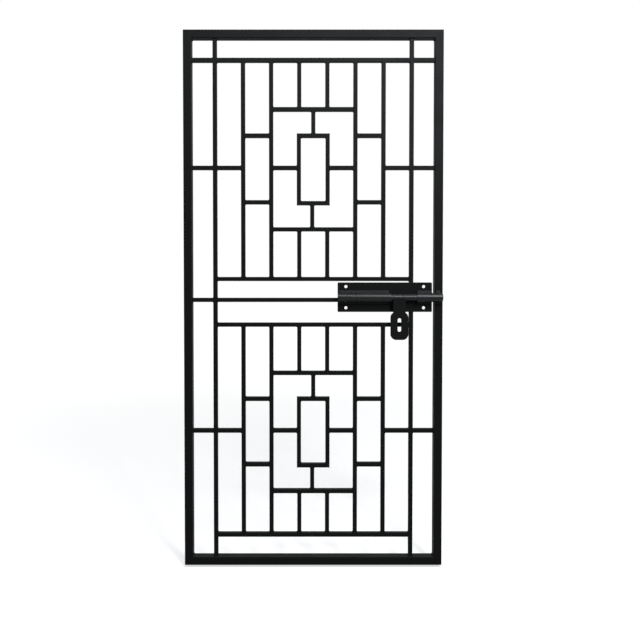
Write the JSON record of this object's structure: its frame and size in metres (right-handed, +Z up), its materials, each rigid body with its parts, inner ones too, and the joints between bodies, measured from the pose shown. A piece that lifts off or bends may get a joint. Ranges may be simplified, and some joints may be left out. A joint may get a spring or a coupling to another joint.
{
  "type": "steel security screen door",
  "caption": "Welded square tube security door leaf with a barred grid in two panels and a sliding round bolt with a hanging slotted hasp.",
  "frame": {"origin": "middle of the hinge stile's flat outer face, halfway up the leaf and halfway through its thickness", "axes": "+X from the hinge edge to the lock edge, +Y from the front with the bolt to the back, +Z up"},
  "size_m": [1, 0.0659, 2.07],
  "materials": {
    "frame_paint": "black semi-gloss enamel on steel tube",
    "grid_paint": "black semi-gloss enamel on steel tube",
    "plate_paint": "black satin enamel on steel plate",
    "bolt_paint": "black semi-gloss enamel on pipe, round bar and flat hasp"
  },
  "bodies": {
    "leaf": {"hinge_stile": "frame_paint", "lock_stile": "frame_paint", "top_rail": "frame_paint", "bottom_rail": "frame_paint", "left_long_bar": "grid_paint", "right_long_bar": "grid_paint", "top_crossbar": "grid_paint", "middle_rail": "grid_paint", "upper_panel_sill": "grid_paint", "lower_panel_head": "grid_paint", "lower_panel_sill": "grid_paint", "upper_outer_uprights": "grid_paint", "upper_inner_uprights": "grid_paint", "upper_inner_head": "grid_paint", "upper_inner_sill": "grid_paint", "upper_high_pickets": "grid_paint", "upper_low_pickets": "grid_paint", "upper_centre_stubs": "grid_paint", "upper_box_rails": "grid_paint", "upper_box_posts": "grid_paint", "upper_box_ties": "grid_paint", "upper_side_rungs": "grid_paint", "upper_outer_ties": "grid_paint", "lower_outer_uprights": "grid_paint", "lower_inner_uprights": "grid_paint", "lower_inner_head": "grid_paint", "lower_inner_sill": "grid_paint", "lower_high_pickets": "grid_paint", "lower_low_pickets": "grid_paint", "lower_centre_stubs": "grid_paint", "lower_box_rails": "grid_paint", "lower_box_posts": "grid_paint", "lower_box_ties": "grid_paint", "lower_side_rungs": "grid_paint", "lower_outer_ties": "grid_paint", "bolt_plate": "plate_paint", "tail_sleeve": "bolt_paint", "middle_sleeve": "bolt_paint", "lock_sleeve": "bolt_paint"},
    "bolt": {"bolt_rod": "bolt_paint"},
    "hasp": {"hasp": "bolt_paint"}
  },
  "joints": [
    {"name": "bolt_slide", "type": "slide", "parent": "leaf", "child": "bolt", "axis": [1, 0, 0], "range_m": [-0.003, 0.039]},
    {"name": "hasp_swing", "type": "hinge", "parent": "bolt", "child": "hasp", "pos_m": [0.8285, -0.03305, 0.0095], "axis": [-1, 0, 0], "range_deg": [-7, 110]}
  ]
}
